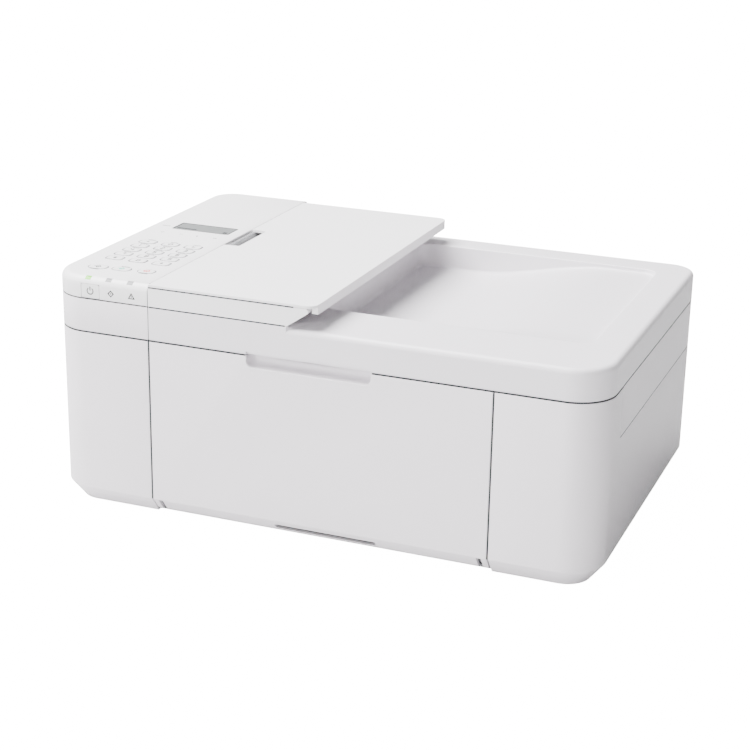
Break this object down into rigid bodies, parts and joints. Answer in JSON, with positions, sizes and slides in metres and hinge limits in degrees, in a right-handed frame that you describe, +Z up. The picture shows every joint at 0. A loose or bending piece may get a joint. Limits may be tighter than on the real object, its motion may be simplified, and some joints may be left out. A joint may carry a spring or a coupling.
{
  "type": "inkjet printer",
  "caption": "Low white desktop inkjet printer with flatbed scanner, top document feeder, keypad panel on the left and a fold-down front cover over its paper trays.",
  "frame": {"origin": "on the table, under the centre of the case's width and depth", "axes": "+X to the right seen from the front, +Y to the back, +Z up"},
  "size_m": [0.435, 0.295, 0.189],
  "materials": {
    "case_white": "fine-textured moulded ABS, white",
    "lid_white": "fine-textured moulded ABS, brighter white",
    "inner_grey": "moulded polystyrene, mid grey",
    "dark_grey": "moulded plastic, dark grey",
    "light_key": "moulded key plastic, pale grey",
    "steel": "galvanised steel sheet",
    "glass": "float glass",
    "display": "clear window over a grey display",
    "rubber": "black rubber",
    "board_green": "glass-fibre board with solder mask",
    "foam_white": "white sheet on foam"
  },
  "bodies": {
    "body": {"base_pan": "inner_grey", "left_case": "case_white", "right_case": "case_white", "rear_cover": "case_white", "scanner_frame": "case_white", "platen_glass": "glass", "adf_glass": "glass", "panel_base": "case_white", "panel_shell": "lid_white", "lcd_window": "display", "power_supply": "dark_grey", "ac_inlet": "dark_grey", "main_board": "board_green", "usb_port": "steel", "phone_jacks": "dark_grey", "chassis": "steel", "carriage_rail": "steel", "print_platen": "dark_grey", "input_tray": "inner_grey", "maintenance_unit": "dark_grey", "foot_front_left": "rubber", "foot_front_right": "rubber", "foot_rear_left": "rubber", "foot_rear_right": "rubber", "lid_hinge_left": "inner_grey", "lid_hinge_right": "inner_grey", "carriage_motor": "steel", "carriage_belt": "rubber", "scan_rod": "steel"},
    "front_cover": {"front_cover": "case_white"},
    "output_cover": {"output_cover": "inner_grey"},
    "output_tray": {"output_tray": "inner_grey"},
    "tray_extension": {"tray_extension": "inner_grey"},
    "side_guide_left": {"side_guide_left": "dark_grey"},
    "side_guide_right": {"side_guide_right": "dark_grey"},
    "front_guide": {"front_guide": "dark_grey"},
    "carriage": {"carriage": "dark_grey", "black_cartridge": "dark_grey", "colour_cartridge": "dark_grey"},
    "motor_pulley": {"motor_pulley": "light_key"},
    "idler_pulley": {"idler_pulley": "light_key"},
    "feed_roller": {"feed_roller": "rubber"},
    "eject_roller": {"eject_roller": "rubber"},
    "pickup_roller": {"pickup_roller": "rubber"},
    "scan_carriage": {"scan_carriage": "dark_grey"},
    "scanner_lid": {"scanner_lid": "lid_white", "output_floor": "lid_white", "pressure_sheet": "foam_white", "adf_frame": "lid_white"},
    "feeder_cover": {"feeder_cover": "inner_grey"},
    "document_tray": {"document_tray": "lid_white"},
    "document_guide_front": {"document_guide_front": "inner_grey"},
    "document_guide_rear": {"document_guide_rear": "inner_grey"},
    "adf_feed_roller": {"adf_feed_roller": "rubber"},
    "adf_pick_roller": {"adf_pick_roller": "rubber"},
    "power_button": {"power_button": "light_key"},
    "black_start_key": {"black_start_key": "light_key"},
    "colour_start_key": {"colour_start_key": "light_key"},
    "stop_key": {"stop_key": "light_key"},
    "keypad": {"keypad": "light_key"}
  },
  "joints": [
    {"name": "front_cover_hinge", "type": "hinge", "parent": "body", "child": "front_cover", "pos_m": [0.00275, -0.136, 0.013], "axis": [1, 0, 0], "range_deg": [0, 90]},
    {"name": "output_tray_slide", "type": "slide", "parent": "body", "child": "output_tray", "axis": [0, -1, 0], "range_m": [0, 0.042]},
    {"name": "tray_extension_slide", "type": "slide", "parent": "output_tray", "child": "tray_extension", "axis": [0, -1, 0], "range_m": [0, 0.032]},
    {"name": "output_cover_hinge", "type": "hinge", "parent": "body", "child": "output_cover", "pos_m": [0.00275, -0.1195, 0.047], "axis": [1, 0, 0], "range_deg": [0, 55]},
    {"name": "side_guide_left_slide", "type": "slide", "parent": "body", "child": "side_guide_left", "axis": [1, 0, 0], "range_m": [0, 0.055]},
    {"name": "side_guide_right_slide", "type": "slide", "parent": "body", "child": "side_guide_right", "axis": [1, 0, 0], "range_m": [-0.055, 0]},
    {"name": "front_guide_slide", "type": "slide", "parent": "body", "child": "front_guide", "axis": [0, 1, 0], "range_m": [0, 0.06]},
    {"name": "carriage_slide", "type": "slide", "parent": "body", "child": "carriage", "axis": [1, 0, 0], "range_m": [-0.255, 0]},
    {"name": "motor_pulley_spin", "type": "hinge", "parent": "body", "child": "motor_pulley", "pos_m": [0.196, 0.0225, 0.089], "axis": [0, 0, 1], "continuous": true},
    {"name": "idler_pulley_spin", "type": "hinge", "parent": "body", "child": "idler_pulley", "pos_m": [-0.122, 0.0225, 0.089], "axis": [0, 0, 1], "continuous": true},
    {"name": "feed_roller_spin", "type": "hinge", "parent": "body", "child": "feed_roller", "pos_m": [0.00275, 0.022, 0.05], "axis": [1, 0, 0], "continuous": true},
    {"name": "eject_roller_spin", "type": "hinge", "parent": "body", "child": "eject_roller", "pos_m": [0.00275, -0.07, 0.05], "axis": [1, 0, 0], "continuous": true},
    {"name": "pickup_roller_spin", "type": "hinge", "parent": "body", "child": "pickup_roller", "pos_m": [0.00275, 0.075, 0.038], "axis": [1, 0, 0], "continuous": true},
    {"name": "scan_carriage_slide", "type": "slide", "parent": "body", "child": "scan_carriage", "axis": [1, 0, 0], "range_m": [0, 0.3]},
    {"name": "scanner_lid_hinge", "type": "hinge", "parent": "body", "child": "scanner_lid", "pos_m": [0.00275, 0.1415, 0.152], "axis": [-1, 0, 0], "range_deg": [0, 75]},
    {"name": "document_tray_hinge", "type": "hinge", "parent": "scanner_lid", "child": "document_tray", "pos_m": [-0.005, 0, 0.1845], "axis": [0, 1, 0], "range_deg": [0, 135]},
    {"name": "feeder_cover_hinge", "type": "hinge", "parent": "scanner_lid", "child": "feeder_cover", "pos_m": [-0.1265, 0, 0.1818], "axis": [0, -1, 0], "range_deg": [0, 68]},
    {"name": "document_guide_front_slide", "type": "slide", "parent": "scanner_lid", "child": "document_guide_front", "axis": [0, 1, 0], "range_m": [0, 0.03]},
    {"name": "document_guide_rear_slide", "type": "slide", "parent": "scanner_lid", "child": "document_guide_rear", "axis": [0, 1, 0], "range_m": [-0.03, 0]},
    {"name": "adf_feed_roller_spin", "type": "hinge", "parent": "scanner_lid", "child": "adf_feed_roller", "pos_m": [-0.099, 0, 0.163], "axis": [0, 1, 0], "continuous": true},
    {"name": "adf_pick_roller_spin", "type": "hinge", "parent": "feeder_cover", "child": "adf_pick_roller", "pos_m": [-0.086, 0, 0.1783], "axis": [0, 1, 0], "continuous": true},
    {"name": "power_button_press", "type": "slide", "parent": "body", "child": "power_button", "axis": [0, 1, 0], "range_m": [0, 0.0008], "stiffness_N_per_m": 400},
    {"name": "black_start_key_press", "type": "slide", "parent": "body", "child": "black_start_key", "axis": [0, 0, -1], "range_m": [0, 0.0005], "stiffness_N_per_m": 400},
    {"name": "colour_start_key_press", "type": "slide", "parent": "body", "child": "colour_start_key", "axis": [0, 0, -1], "range_m": [0, 0.0005], "stiffness_N_per_m": 400},
    {"name": "stop_key_press", "type": "slide", "parent": "body", "child": "stop_key", "axis": [0, 0, -1], "range_m": [0, 0.0005], "stiffness_N_per_m": 400},
    {"name": "keypad_press", "type": "slide", "parent": "body", "child": "keypad", "axis": [0, 0, -1], "range_m": [0, 0.0005], "stiffness_N_per_m": 900}
  ],
  "couplings": [
    {"joint": "output_tray_slide", "follows": "front_cover_hinge", "m_per_rad": 0.025},
    {"joint": "tray_extension_slide", "follows": "front_cover_hinge", "m_per_rad": 0.019},
    {"joint": "output_cover_hinge", "follows": "front_cover_hinge", "ratio": 0.6},
    {"joint": "side_guide_right_slide", "follows": "side_guide_left_slide", "ratio": -1},
    {"joint": "motor_pulley_spin", "follows": "carriage_slide", "rad_per_m": 181.82},
    {"joint": "idler_pulley_spin", "follows": "carriage_slide", "rad_per_m": 181.82},
    {"joint": "eject_roller_spin", "follows": "feed_roller_spin", "ratio": 1.5},
    {"joint": "pickup_roller_spin", "follows": "feed_roller_spin", "ratio": -0.6667},
    {"joint": "feeder_cover_hinge", "follows": "document_tray_hinge", "ratio": 0.5},
    {"joint": "document_guide_rear_slide", "follows": "document_guide_front_slide", "ratio": -1},
    {"joint": "adf_pick_roller_spin", "follows": "adf_feed_roller_spin", "ratio": 2.25}
  ]
}
